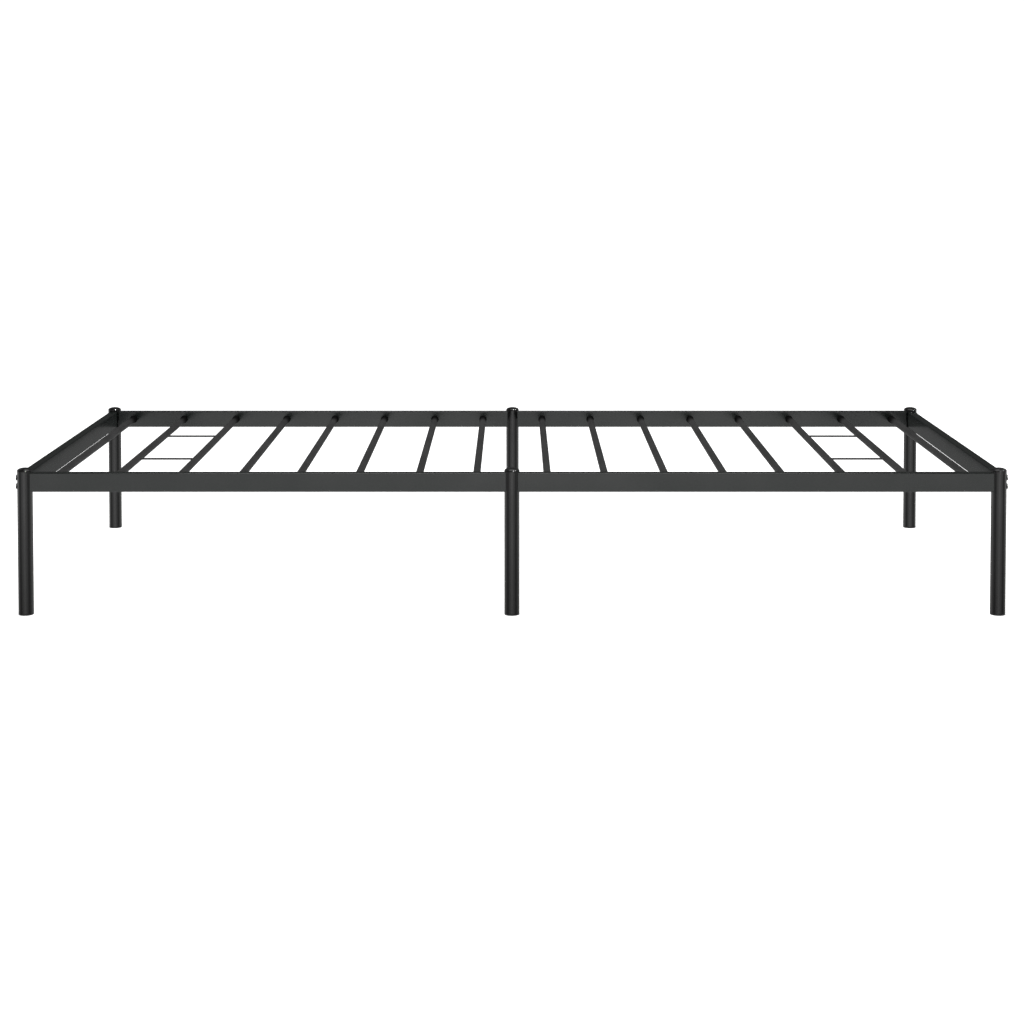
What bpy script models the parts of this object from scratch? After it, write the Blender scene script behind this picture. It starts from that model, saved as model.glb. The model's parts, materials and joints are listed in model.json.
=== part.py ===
"""Bed frame of powder-coated steel tube, for a 90 x 200 cm mattress.

Six round legs carry two side rails and two end rails of rectangular tube. Round slats run across
between the side rails. Everything is in metres, +Z up. The origin is on the floor under the middle
of the bed, X runs along the bed and -Y is its front side.
"""

import math

import bmesh
import bpy
from mathutils import Matrix

# Where the legs stand
LEG_PITCH_X = 2.040
LEG_PITCH_Y = 0.940

# Legs: round tube
LEG_RADIUS = 0.016
LEG_WALL = 0.0015
LEG_TOP = 0.303
LEG_SEGMENTS = 20

# Rails: rectangular tube on edge, centred on the leg axes
RAIL_TOP = 0.300
RAIL_HEIGHT = 0.040
RAIL_THICKNESS = 0.020
RAIL_WALL = 0.0012
RAIL_CORNER = 0.002
CORNER_STEPS = 2
COPE_STRIPS = 6

# Slats: round tube, spaced by hand, the same towards both ends of the bed
SLAT_RADIUS = 0.008
SLAT_WALL = 0.001
SLAT_SEGMENTS = 16
SLAT_OFFSETS = (0.0755, 0.1985, 0.3275, 0.4540, 0.5775, 0.7075, 0.8405, 0.9695)

# Cross rods: solid wire between the sixth and seventh slat from the middle
ROD_RADIUS = 0.00225
ROD_SEGMENTS = 12
ROD_OFFSET_Y = 0.170
ROD_SLATS = (5, 6)

# Plastic caps and foot plugs
CAP_RIM = 0.0005
CAP_DOME = 0.0062
CAP_DOME_STEPS = 4
CAP_INSERT = 0.008
FOOT_FLANGE = 0.003
FOOT_CHAMFER = 0.0008
FOOT_INSERT = 0.015
PLUG_WALL = 0.0015

# M6 furniture bolts with low domed heads
BOLT_RADIUS = 0.003
BOLT_HEAD_RADIUS = 0.0063
BOLT_HEAD_RIM = 0.0008
BOLT_HEAD_HEIGHT = 0.0021
BOLT_HEAD_TOP_RADIUS = 0.0036
SOCKET_ACROSS_FLATS = 0.004
SOCKET_DEPTH = 0.002
BOLT_SEGMENTS = 12
CORNER_BOLT_LENGTH = 0.045
CORNER_BOLT_SPREAD = 0.009

# M6 set screws that lock the half rails to the spigots, just inside the rails' lower faces
SET_SCREW_LENGTH = 0.012
SET_SCREW_RECESS = 0.0002
SET_SCREW_ACROSS_FLATS = 0.003
SET_SCREW_SOCKET_DEPTH = 0.003

# Nut plates in the outer ends of the side rails
NUT_PLATE_FROM_LEG_AXIS = 0.020
NUT_PLATE_THICKNESS = 0.004

# Spigots on the middle legs, which the half rails slide over
SPIGOT_REACH = 0.060
SPIGOT_WALL = 0.0015
SPIGOT_CORNER = 0.0005
SPIGOT_WELD_RADIUS = 0.0152
WELD_NUT_ACROSS_FLATS = 0.010
WELD_NUT_HEIGHT = 0.005
WELD_NUT_ROOT = 0.0005
SET_SCREW_FROM_LEG_AXIS = 0.040

# Touching pieces keep this clearance
GAP = 0.0003

LEG_X = LEG_PITCH_X / 2
LEG_Y = LEG_PITCH_Y / 2
LEG_BORE = LEG_RADIUS - LEG_WALL
LEG_BOTTOM = FOOT_FLANGE + GAP
RAIL_Z = RAIL_TOP - RAIL_HEIGHT / 2
RAIL_BOTTOM = RAIL_TOP - RAIL_HEIGHT
RAIL_INNER_Y = LEG_Y - RAIL_THICKNESS / 2
BOLT_HOLE_RADIUS = BOLT_RADIUS + GAP
SHARP_ANGLE = math.radians(35)
HALF_TURN = math.pi

SIDES = (("front", -1), ("back", 1))
ENDS = (("left", -1), ("right", 1))


def clear_scene():
    for thing in list(bpy.data.objects):
        bpy.data.objects.remove(thing, do_unlink=True)


def make_material(name, colour, roughness, metallic):
    material = bpy.data.materials.new(name)
    material.use_nodes = True
    shader = material.node_tree.nodes["Principled BSDF"]
    shader.inputs["Base Color"].default_value = (*colour, 1.0)
    shader.inputs["Roughness"].default_value = roughness
    shader.inputs["Metallic"].default_value = metallic
    return material


def finished_mesh(name, bm):
    """The bmesh as a mesh with outward faces, smooth but for its real edges."""
    bmesh.ops.recalc_face_normals(bm, faces=bm.faces)
    mesh = bpy.data.meshes.new(name)
    bm.to_mesh(mesh)
    bm.free()
    mesh.shade_smooth()
    mesh.set_sharp_from_angle(angle=SHARP_ANGLE)
    return mesh


def turned(name, profile, segments, closed=False):
    """A body turned about Z from (radius, height) points. The points go up from the axis to the
    axis, or right round the section of a tube when closed."""
    bm = bmesh.new()
    points = [bm.verts.new((radius, 0, height)) for radius, height in profile]
    pairs = list(zip(points, points[1:]))
    if closed:
        pairs.append((points[-1], points[0]))
    edges = [bm.edges.new(pair) for pair in pairs]
    bmesh.ops.spin(
        bm, geom=points + edges, cent=(0, 0, 0), axis=(0, 0, 1), angle=math.tau, steps=segments
    )
    bmesh.ops.remove_doubles(bm, verts=bm.verts, dist=1e-6)
    return finished_mesh(name, bm)


def circle(radius, segments):
    angles = [math.tau * step / segments for step in range(segments)]
    return [(radius * math.cos(angle), radius * math.sin(angle)) for angle in angles]


def rounded_rectangle(width, height, radius):
    """(across, up) points, with the top and bottom split into strips so that an end cut can follow
    a round leg."""
    reach_across = width / 2 - radius
    reach_up = height / 2 - radius
    corners = ((1, 1), (-1, 1), (-1, -1), (1, -1))
    points = []
    for quadrant, (side, level) in enumerate(corners):
        for step in range(CORNER_STEPS + 1):
            angle = (quadrant + step / CORNER_STEPS) * math.pi / 2
            across = side * reach_across + radius * math.cos(angle)
            up = level * reach_up + radius * math.sin(angle)
            points.append((across, up))
        if side == level:
            for step in range(1, COPE_STRIPS):
                across = side * reach_across * (1 - 2 * step / COPE_STRIPS)
                points.append((across, level * height / 2))
    return points


def along_x(along, across, up):
    return (along, across, up)


def along_y(along, across, up):
    return (across, along, up)


def along_z(along, across, up):
    return (across, up, along)


def flat(position):
    """An end cut square at this position."""
    return lambda across, up: position


def extruded(name, place, outer, inner, low_end, high_end):
    """A straight tube, or a solid bar when inner is empty. low_end and high_end say where each
    (across, up) point of the section ends, so an end can be coped."""
    bm = bmesh.new()
    outline = [(outer, low_end), (outer, high_end)]
    if inner:
        outline += [(inner, high_end), (inner, low_end)]
    rings = []
    for section, end in outline:
        ring = [bm.verts.new(place(end(across, up), across, up)) for across, up in section]
        rings.append(ring)
    pairs = list(zip(rings, rings[1:]))
    if inner:
        pairs.append((rings[-1], rings[0]))
    else:
        for ring in rings:
            bm.faces.new(ring)
    for near, far in pairs:
        for index in range(len(near)):
            after = (index + 1) % len(near)
            bm.faces.new((near[index], near[after], far[after], far[index]))
    return finished_mesh(name, bm)


def bar(name, place, radius, low, high, sides=BOLT_SEGMENTS):
    """A solid round bar, or a hexagonal one with six sides."""
    return extruded(name, place, circle(radius, sides), [], flat(low), flat(high))


def hexagon_corner(across_flats):
    return across_flats / 2 / math.cos(math.pi / 6)


def shifted(mesh, x=0.0, z=0.0):
    mesh.transform(Matrix.Translation((x, 0, z)))
    return mesh


def combined(operation, body, *others):
    """The mesh of body after an exact Boolean with each of the others in turn."""
    name = body.name
    for other in others:
        pieces = [bpy.data.objects.new(mesh.name, mesh) for mesh in (body, other)]
        for piece in pieces:
            bpy.context.scene.collection.objects.link(piece)
        modifier = pieces[0].modifiers.new("combine", "BOOLEAN")
        modifier.operation = operation
        modifier.solver = "EXACT"
        modifier.object = pieces[1]
        graph = bpy.context.evaluated_depsgraph_get()
        result = bpy.data.meshes.new_from_object(pieces[0].evaluated_get(graph))
        for piece in pieces:
            spent = piece.data
            bpy.data.objects.remove(piece, do_unlink=True)
            bpy.data.meshes.remove(spent)
        body = result
    body.name = name
    body.shade_smooth()
    body.set_sharp_from_angle(angle=SHARP_ANGLE)
    return body


def add_piece(name, mesh, material, root, location, rotation=(0, 0, 0)):
    if not mesh.materials:
        mesh.materials.append(material)
    piece = bpy.data.objects.new(name, mesh)
    piece.location = location
    piece.rotation_euler = rotation
    piece.parent = root
    bpy.context.scene.collection.objects.link(piece)
    return piece


def leg_tube(name):
    """Open round tube, standing on the flange of its foot plug."""
    profile = (
        (LEG_RADIUS, LEG_BOTTOM),
        (LEG_RADIUS, LEG_TOP),
        (LEG_BORE, LEG_TOP),
        (LEG_BORE, LEG_BOTTOM),
    )
    return turned(name, profile, LEG_SEGMENTS, closed=True)


def corner_leg_mesh():
    """Leg tube with two bolt holes through both walls along X, one above the other."""
    drills = []
    for level in (-1, 1):
        drill = bar("drill", along_x, BOLT_HOLE_RADIUS, -2 * LEG_RADIUS, 2 * LEG_RADIUS)
        drills.append(shifted(drill, z=RAIL_Z + level * CORNER_BOLT_SPREAD))
    return combined("DIFFERENCE", leg_tube("corner_leg"), *drills)


def spigot_mesh(direction):
    """Short rectangular tube that starts inside the wall of the leg."""
    width = RAIL_THICKNESS - 2 * RAIL_WALL - 2 * GAP
    height = RAIL_HEIGHT - 2 * RAIL_WALL - 2 * GAP
    outer = rounded_rectangle(width, height, SPIGOT_CORNER)
    inner = rounded_rectangle(
        width - 2 * SPIGOT_WALL, height - 2 * SPIGOT_WALL, SPIGOT_CORNER
    )
    spigot = extruded(
        "spigot",
        along_x,
        outer,
        inner,
        lambda across, up: direction * math.sqrt(SPIGOT_WELD_RADIUS**2 - across**2),
        flat(direction * SPIGOT_REACH),
    )
    return shifted(spigot, z=RAIL_Z)


def weld_nut_mesh(direction):
    """Hexagonal nut on the floor of a spigot."""
    floor = RAIL_BOTTOM + RAIL_WALL + GAP + SPIGOT_WALL
    radius = hexagon_corner(WELD_NUT_ACROSS_FLATS)
    nut = bar("nut", along_z, radius, floor - WELD_NUT_ROOT, floor + WELD_NUT_HEIGHT, sides=6)
    return shifted(nut, x=direction * SET_SCREW_FROM_LEG_AXIS)


def set_screw_drill(direction):
    """Upright drill through the lower wall of a rail and what lies just above it."""
    drill = bar("drill", along_z, BOLT_HOLE_RADIUS, RAIL_BOTTOM - RAIL_WALL, RAIL_Z)
    return shifted(drill, x=direction * SET_SCREW_FROM_LEG_AXIS)


def mid_leg_mesh():
    """Leg tube with a welded spigot each way, each with a nut for its set screw."""
    welded = []
    for direction in (-1, 1):
        welded += [spigot_mesh(direction), weld_nut_mesh(direction)]
    leg = combined("UNION", leg_tube("mid_leg"), *welded)
    return combined("DIFFERENCE", leg, set_screw_drill(-1), set_screw_drill(1))


def cap_mesh():
    """Domed cap with a hollow insert that fits inside the leg."""
    insert_radius = LEG_BORE - GAP
    insert_bottom = LEG_TOP - CAP_INSERT
    rim_bottom = LEG_TOP + GAP
    rim_top = rim_bottom + CAP_RIM
    profile = [
        (0, rim_bottom),
        (insert_radius - PLUG_WALL, rim_bottom),
        (insert_radius - PLUG_WALL, insert_bottom),
        (insert_radius, insert_bottom),
        (insert_radius, rim_bottom),
        (LEG_RADIUS, rim_bottom),
    ]
    for step in range(CAP_DOME_STEPS):
        angle = math.pi / 2 * step / CAP_DOME_STEPS
        profile.append((LEG_RADIUS * math.cos(angle), rim_top + CAP_DOME * math.sin(angle)))
    profile.append((0, rim_top + CAP_DOME))
    return turned("leg_cap", profile, LEG_SEGMENTS)


def foot_plug_mesh():
    """Flanged plug that the leg stands on, with a hollow insert up inside the leg."""
    insert_radius = LEG_BORE - GAP
    profile = (
        (0, 0),
        (LEG_RADIUS - FOOT_CHAMFER, 0),
        (LEG_RADIUS, FOOT_CHAMFER),
        (LEG_RADIUS, FOOT_FLANGE),
        (insert_radius, FOOT_FLANGE),
        (insert_radius, FOOT_FLANGE + FOOT_INSERT),
        (insert_radius - PLUG_WALL, FOOT_FLANGE + FOOT_INSERT),
        (insert_radius - PLUG_WALL, FOOT_FLANGE),
        (0, FOOT_FLANGE),
    )
    return turned("foot_plug", profile, LEG_SEGMENTS)


def rail_sections():
    outer = rounded_rectangle(RAIL_THICKNESS, RAIL_HEIGHT, RAIL_CORNER)
    inner = rounded_rectangle(
        RAIL_THICKNESS - 2 * RAIL_WALL, RAIL_HEIGHT - 2 * RAIL_WALL, RAIL_CORNER - RAIL_WALL
    )
    return outer, inner


def cope(across):
    """How far from a leg's axis a rail starts at this distance from the rail's centre plane."""
    return math.sqrt((LEG_RADIUS + GAP) ** 2 - across**2)


def half_side_rail_mesh():
    """From the middle leg along +X to the corner leg, coped to both, with a screw hole below."""
    outer, inner = rail_sections()
    rail = extruded(
        "half_side_rail",
        along_x,
        outer,
        inner,
        lambda across, up: cope(across),
        lambda across, up: LEG_X - cope(across),
    )
    drill = shifted(set_screw_drill(1), z=-RAIL_Z)
    return combined("DIFFERENCE", rail, drill)


def end_rail_mesh():
    """From corner leg to corner leg along Y, coped to both."""
    outer, inner = rail_sections()
    return extruded(
        "end_rail",
        along_y,
        outer,
        inner,
        lambda across, up: cope(across) - LEG_Y,
        lambda across, up: LEG_Y - cope(across),
    )


def slat_mesh():
    """Open round tube between the inner faces of the side rails."""
    outer = circle(SLAT_RADIUS, SLAT_SEGMENTS)
    inner = circle(SLAT_RADIUS - SLAT_WALL, SLAT_SEGMENTS)
    reach = RAIL_INNER_Y - GAP
    return extruded("slat", along_y, outer, inner, flat(-reach), flat(reach))


def cross_rod_mesh():
    """Wire between two slats, its ends hollowed to sit against them. Its middle is the origin."""
    half_pitch = (SLAT_OFFSETS[ROD_SLATS[1]] - SLAT_OFFSETS[ROD_SLATS[0]]) / 2

    def reach(up):
        return half_pitch - math.sqrt((SLAT_RADIUS + GAP) ** 2 - up**2)

    section = circle(ROD_RADIUS, ROD_SEGMENTS)
    return extruded(
        "cross_rod",
        along_x,
        section,
        [],
        lambda across, up: -reach(up),
        lambda across, up: reach(up),
    )


def corner_bolt_mesh():
    """Bolt with its low domed head up, the underside of its head at the origin."""
    profile = (
        (0, -CORNER_BOLT_LENGTH),
        (BOLT_RADIUS, -CORNER_BOLT_LENGTH),
        (BOLT_RADIUS, 0),
        (BOLT_HEAD_RADIUS, 0),
        (BOLT_HEAD_RADIUS, BOLT_HEAD_RIM),
        (BOLT_HEAD_TOP_RADIUS, BOLT_HEAD_HEIGHT),
        (0, BOLT_HEAD_HEIGHT),
    )
    body = turned("corner_bolt", profile, BOLT_SEGMENTS)
    socket = bar(
        "socket",
        along_z,
        hexagon_corner(SOCKET_ACROSS_FLATS),
        BOLT_HEAD_HEIGHT - SOCKET_DEPTH,
        BOLT_HEAD_HEIGHT + SOCKET_DEPTH,
        sides=6,
    )
    return combined("DIFFERENCE", body, socket)


def set_screw_mesh():
    """Headless screw with its socket at its lower end, which is at the origin."""
    body = bar("set_screw", along_z, BOLT_RADIUS, 0, SET_SCREW_LENGTH)
    socket = bar(
        "socket",
        along_z,
        hexagon_corner(SET_SCREW_ACROSS_FLATS),
        -SET_SCREW_SOCKET_DEPTH,
        SET_SCREW_SOCKET_DEPTH,
        sides=6,
    )
    return combined("DIFFERENCE", body, socket)


def nut_plate_mesh():
    """Plate that fills the rail's section, with two holes along X for the corner bolts."""
    width = RAIL_THICKNESS - 2 * RAIL_WALL - 2 * GAP
    height = RAIL_HEIGHT - 2 * RAIL_WALL - 2 * GAP
    section = [
        (side * width / 2, level * height / 2)
        for side, level in ((1, 1), (-1, 1), (-1, -1), (1, -1))
    ]
    half = NUT_PLATE_THICKNESS / 2
    plate = extruded("nut_plate", along_x, section, [], flat(-half), flat(half))
    drills = []
    for level in (-1, 1):
        drill = bar(
            "drill", along_x, BOLT_HOLE_RADIUS, -NUT_PLATE_THICKNESS, NUT_PLATE_THICKNESS
        )
        drills.append(shifted(drill, z=level * CORNER_BOLT_SPREAD))
    return combined("DIFFERENCE", plate, *drills)


def add_legs(root, coat):
    corner_leg = corner_leg_mesh()
    mid_leg = mid_leg_mesh()
    for side, y_sign in SIDES:
        y = y_sign * LEG_Y
        add_piece(f"mid_leg_{side}", mid_leg, coat, root, (0, y, 0))
        for end, x_sign in ENDS:
            add_piece(f"corner_leg_{side}_{end}", corner_leg, coat, root, (x_sign * LEG_X, y, 0))


def add_caps_and_feet(root, cap_plastic, foot_plastic):
    cap = cap_mesh()
    foot_plug = foot_plug_mesh()
    for side, y_sign in SIDES:
        for place, x_sign in ENDS + (("mid", 0),):
            spot = (x_sign * LEG_X, y_sign * LEG_Y, 0)
            add_piece(f"leg_cap_{side}_{place}", cap, cap_plastic, root, spot)
            add_piece(f"foot_plug_{side}_{place}", foot_plug, foot_plastic, root, spot)


def add_rails(root, coat):
    half_rail = half_side_rail_mesh()
    end_rail = end_rail_mesh()
    for end, x_sign in ENDS:
        turn = HALF_TURN if x_sign < 0 else 0
        for side, y_sign in SIDES:
            spot = (0, y_sign * LEG_Y, RAIL_Z)
            add_piece(f"side_rail_{side}_{end}", half_rail, coat, root, spot, (0, 0, turn))
        add_piece(f"end_rail_{end}", end_rail, coat, root, (x_sign * LEG_X, 0, RAIL_Z))


def add_slats(root, coat):
    slat = slat_mesh()
    places = sorted(x_sign * offset for _, x_sign in ENDS for offset in SLAT_OFFSETS)
    for number, x in enumerate(places, start=1):
        add_piece(f"slat_{number:02d}", slat, coat, root, (x, 0, RAIL_Z))


def add_cross_rods(root, coat):
    rod = cross_rod_mesh()
    middle = sum(SLAT_OFFSETS[index] for index in ROD_SLATS) / len(ROD_SLATS)
    for end, x_sign in ENDS:
        for side, y_sign in SIDES:
            spot = (x_sign * middle, y_sign * ROD_OFFSET_Y, RAIL_Z)
            add_piece(f"cross_rod_{side}_{end}", rod, coat, root, spot)


def add_corner_fasteners(root, bolt_steel, plate_steel):
    bolt = corner_bolt_mesh()
    nut_plate = nut_plate_mesh()
    head_x = LEG_X + LEG_RADIUS + GAP
    plate_x = LEG_X - NUT_PLATE_FROM_LEG_AXIS - NUT_PLATE_THICKNESS / 2
    for side, y_sign in SIDES:
        y = y_sign * LEG_Y
        for end, x_sign in ENDS:
            outward = (0, x_sign * math.pi / 2, 0)
            spot = (x_sign * plate_x, y, RAIL_Z)
            add_piece(f"nut_plate_{side}_{end}", nut_plate, plate_steel, root, spot)
            for level, z_sign in (("lower", -1), ("upper", 1)):
                spot = (x_sign * head_x, y, RAIL_Z + z_sign * CORNER_BOLT_SPREAD)
                add_piece(f"corner_bolt_{side}_{end}_{level}", bolt, bolt_steel, root, spot, outward)


def add_set_screws(root, bolt_steel):
    screw = set_screw_mesh()
    lower_end = RAIL_BOTTOM + SET_SCREW_RECESS
    for side, y_sign in SIDES:
        for end, x_sign in ENDS:
            spot = (x_sign * SET_SCREW_FROM_LEG_AXIS, y_sign * LEG_Y, lower_end)
            add_piece(f"set_screw_{side}_{end}", screw, bolt_steel, root, spot)


def main():
    clear_scene()
    root = bpy.data.objects.new("bed_frame", None)
    bpy.context.scene.collection.objects.link(root)

    leg_coat = make_material("leg_coat", (0.012, 0.013, 0.013), 0.30, 0.0)
    rail_coat = make_material("rail_coat", (0.012, 0.013, 0.013), 0.30, 0.0)
    slat_coat = make_material("slat_coat", (0.012, 0.013, 0.013), 0.30, 0.0)
    rod_coat = make_material("rod_coat", (0.012, 0.013, 0.013), 0.35, 0.0)
    cap_plastic = make_material("cap_plastic", (0.006, 0.006, 0.006), 0.35, 0.0)
    foot_plastic = make_material("foot_plastic", (0.008, 0.008, 0.008), 0.55, 0.0)
    bolt_steel = make_material("bolt_steel", (0.015, 0.015, 0.016), 0.30, 0.6)
    plate_steel = make_material("plate_steel", (0.55, 0.56, 0.57), 0.40, 1.0)

    add_legs(root, leg_coat)
    add_caps_and_feet(root, cap_plastic, foot_plastic)
    add_rails(root, rail_coat)
    add_slats(root, slat_coat)
    add_cross_rods(root, rod_coat)
    add_corner_fasteners(root, bolt_steel, plate_steel)
    add_set_screws(root, bolt_steel)


main()
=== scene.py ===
"""Looks of the metal bed frame: drawn tube, welds, bolts, plastic caps and black powder coat.

Everything is in metres, +Z up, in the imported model's own frame: X runs along the bed and -Y is its
front side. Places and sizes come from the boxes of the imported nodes.
"""

import json
import math
import random

import bmesh
import bpy
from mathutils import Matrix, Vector

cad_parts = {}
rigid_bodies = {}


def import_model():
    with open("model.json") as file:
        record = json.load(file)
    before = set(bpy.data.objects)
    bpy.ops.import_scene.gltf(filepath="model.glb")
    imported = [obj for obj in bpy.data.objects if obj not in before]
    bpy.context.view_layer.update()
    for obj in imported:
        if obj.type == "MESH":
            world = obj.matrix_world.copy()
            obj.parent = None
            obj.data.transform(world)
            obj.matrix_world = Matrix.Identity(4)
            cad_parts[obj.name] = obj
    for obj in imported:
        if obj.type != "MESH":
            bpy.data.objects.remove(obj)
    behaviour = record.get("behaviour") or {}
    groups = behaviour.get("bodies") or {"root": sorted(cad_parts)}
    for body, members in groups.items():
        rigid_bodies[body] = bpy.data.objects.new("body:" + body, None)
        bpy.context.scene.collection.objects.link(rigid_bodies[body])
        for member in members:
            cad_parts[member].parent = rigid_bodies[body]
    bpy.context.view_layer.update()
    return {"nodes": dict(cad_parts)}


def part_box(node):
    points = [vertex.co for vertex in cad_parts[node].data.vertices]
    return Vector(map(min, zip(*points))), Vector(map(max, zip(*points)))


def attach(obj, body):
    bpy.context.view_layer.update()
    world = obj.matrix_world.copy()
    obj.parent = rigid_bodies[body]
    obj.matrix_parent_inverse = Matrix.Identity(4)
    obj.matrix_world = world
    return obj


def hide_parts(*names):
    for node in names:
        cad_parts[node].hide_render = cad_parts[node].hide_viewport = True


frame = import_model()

SIDES = (("front", -1), ("back", 1))
ENDS = (("left", -1), ("right", 1))
SLAT_NAMES = [name for name in sorted(frame["nodes"]) if name.startswith("slat_")]

# Walls and corners, which the nodes' boxes don't show
LEG_WALL = 0.0015
RAIL_WALL = 0.0012
RAIL_CORNER = 0.002
SLAT_WALL = 0.001
PLUG_WALL = 0.0015

# The rounding of a tube's cut ends, and the room between parts that fit together
CUT_LIP = 0.0003
GAP = 0.0003

# How finely round things are drawn
LEG_SEGMENTS = 72
SLAT_SEGMENTS = 48
ROD_SEGMENTS = 24
BOLT_SEGMENTS = 48
ARC_STEPS = 4
CORNER_STEPS = 8
COPE_STEPS = 14
RIB_STEPS = 4
DOME_STEPS = 18
HEAD_STEPS = 8
BEAD_SIDES = 10
BEAD_SPACING = 0.0006
SHARP_ANGLE = math.radians(32)

# Caps and feet
CAP_RIM = 0.0005
CAP_EDGE = 0.0002
FOOT_FLANGE = 0.003
FOOT_EDGE = 0.0008
RIB_PITCH = 0.003
RIB_DEPTH = 0.00045
RIB_HALF_WIDTH = 0.3  # of the pitch

# M6 furniture bolts with low domed heads, and the set screws
BOLT_RADIUS = 0.003
THREAD_PITCH = 0.001
THREAD_DEPTH = 0.0004
THREAD_TURNS = 14
THREAD_RINGS = 6  # for each turn
HEAD_RADIUS = 0.0063
HEAD_RIM = 0.0008
HEAD_EDGE = 0.00025
HEAD_TOP_RADIUS = 0.0029
HEAD_HEIGHT = 0.0021
SOCKET_APOTHEM = 0.002
SOCKET_DEPTH = 0.002
SOCKET_CHAMFER = 0.0002
SCREW_SOCKET_APOTHEM = 0.0015
SCREW_SOCKET_DEPTH = 0.003
CORNER_BOLT_SPREAD = 0.009

# Middle-leg joint
SPIGOT_REACH = 0.060
SPIGOT_WALL = 0.0015
SPIGOT_CORNER = 0.0005
SPIGOT_ROOT = 0.0152
WELD_NUT_APOTHEM = 0.005
WELD_NUT_HEIGHT = 0.005
WELD_NUT_CHAMFER = 0.0006
SET_SCREW_X = 0.040

# Weld beads, and the rounding of the cross rods' ends
SLAT_BEAD = 0.0015
RAIL_BEAD = 0.0019
ROD_BEAD = 0.0008
ROD_EDGE = 0.2  # of the rod's radius
RIPPLE_PITCH = 0.0021
RIPPLE_HEIGHT = 0.10  # of the bead's thickness

# Painted shade on the slats where they meet the side rails: where it begins to darken the coat, and how
# far on it is darkest
SLAT_END = 0.375
PAINTED_SHADE_LENGTH = 0.065
PAINTED_SHADE_COLOUR = 0.05  # of the coat's colour
PAINTED_SHADE_DULLNESS = 0.45

# Detail of the finishes: how fine each pattern is, per metre, and how deep it goes
PATCH_SCALE = 9.0
SPECKLE_SCALE = 2600.0
PEEL_SCALE = 420.0
FLOW_SCALE = 120.0
SPARK_SCALE = 2200.0
SPARK_HEIGHT = 0.00001
BRUSH_SCALE = 160.0
BRUSH_STRETCH = 30.0
BRUSH_HEIGHT = 0.00003
WORN_EDGE = 0.0009
EDGE_CONTRAST = 6.0
NOISE_LOW = 0.3
NOISE_HIGH = 0.7
GRAIN_STOPS = ((0.62, 0.0), (0.72, 0.5))
GRAIN_HEIGHT = 0.15  # of the orange peel's
EDGE_WEAR = 0.5

# How light each detail is, as a share of the coat's own colour
BLOOM_DARK = 0.86
BLOOM_LIGHT = 1.16
GRAIN_LIGHT = 1.7
EDGE_LIGHT = 2.2
FLOW_DARK = 0.85
FLOW_LIGHT = 1.2


# ---------------------------------------------------------------- mesh making


# Each of the three turns a place along, across and above an axis into a point
def along_x(along, across, up):
    return Vector((along, across, up))


def along_y(along, across, up):
    return Vector((across, along, up))


def along_z(along, across, up):
    return Vector((across, up, along))


def loft(rings, closed=False):
    """Vertices and faces of a skin over rings of points. A ring of one point is a pole."""
    vertices = []
    starts = []
    for ring in rings:
        starts.append(len(vertices))
        vertices.extend(ring)
    neighbours = list(zip(range(len(rings) - 1), range(1, len(rings))))
    if closed:
        neighbours.append((len(rings) - 1, 0))
    faces = []
    for low, high in neighbours:
        low_count = len(rings[low])
        high_count = len(rings[high])
        count = max(low_count, high_count)
        for here in range(count):
            there = (here + 1) % count
            corners = (
                starts[low] + here % low_count,
                starts[low] + there % low_count,
                starts[high] + there % high_count,
                starts[high] + here % high_count,
            )
            faces.append(list(dict.fromkeys(corners)))
    return vertices, faces


def turned(profile, place, centre, segments, closed=False):
    """Skin of a turned shape: profile holds (radius, height along the axis) points."""
    rings = []
    for radius, height in profile:
        if radius == 0:
            rings.append([centre + place(height, 0, 0)])
            continue
        ring = []
        for step in range(segments):
            angle = 2 * math.pi * step / segments
            ring.append(centre + place(height, radius * math.cos(angle), radius * math.sin(angle)))
        rings.append(ring)
    return loft(rings, closed)


def arc(centre_radius, centre_height, size, start, end, steps=ARC_STEPS):
    """Points of a profile's round edge, from one angle to another in degrees."""
    points = []
    for step in range(steps + 1):
        angle = math.radians(start + (end - start) * step / steps)
        points.append((centre_radius + size * math.cos(angle), centre_height + size * math.sin(angle)))
    return points


def tube_profile(outer, inner, low, high, stops=()):
    """Profile of a cut tube with deburred rims, with extra rings at the heights in stops."""
    lip = CUT_LIP
    profile = arc(outer - lip, low + lip, lip, -90, 0)
    profile += [(outer, stop) for stop in stops]
    profile += arc(outer - lip, high - lip, lip, 0, 90)
    profile += arc(inner + lip, high - lip, lip, 90, 180)
    profile += [(inner, stop) for stop in reversed(stops)]
    profile += arc(inner + lip, low + lip, lip, 180, 270)
    return profile


def rectangle_section(half_width, half_height, corner):
    """Points round a rectangle with round corners, each with its outward normal."""
    section = []
    signs = ((1, 1), (-1, 1), (-1, -1), (1, -1))
    for quarter, (across_sign, up_sign) in enumerate(signs):
        across = across_sign * (half_width - corner)
        up = up_sign * (half_height - corner)
        for step in range(CORNER_STEPS + 1):
            angle = math.pi / 2 * (quarter + step / CORNER_STEPS)
            normal = (math.cos(angle), math.sin(angle))
            section.append(((across + corner * normal[0], up + corner * normal[1]), normal))
        if quarter % 2 == 0:
            for step in range(1, COPE_STEPS):
                share = 1 - 2 * step / COPE_STEPS
                section.append(((across * share, up + up_sign * corner), (0, up_sign)))
    return section


def section_ring(section, place, centre, reach):
    """A section's points, each as far along the tube as reach says for its place across."""
    return [centre + place(reach(across), across, up) for (across, up), _ in section]


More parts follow.
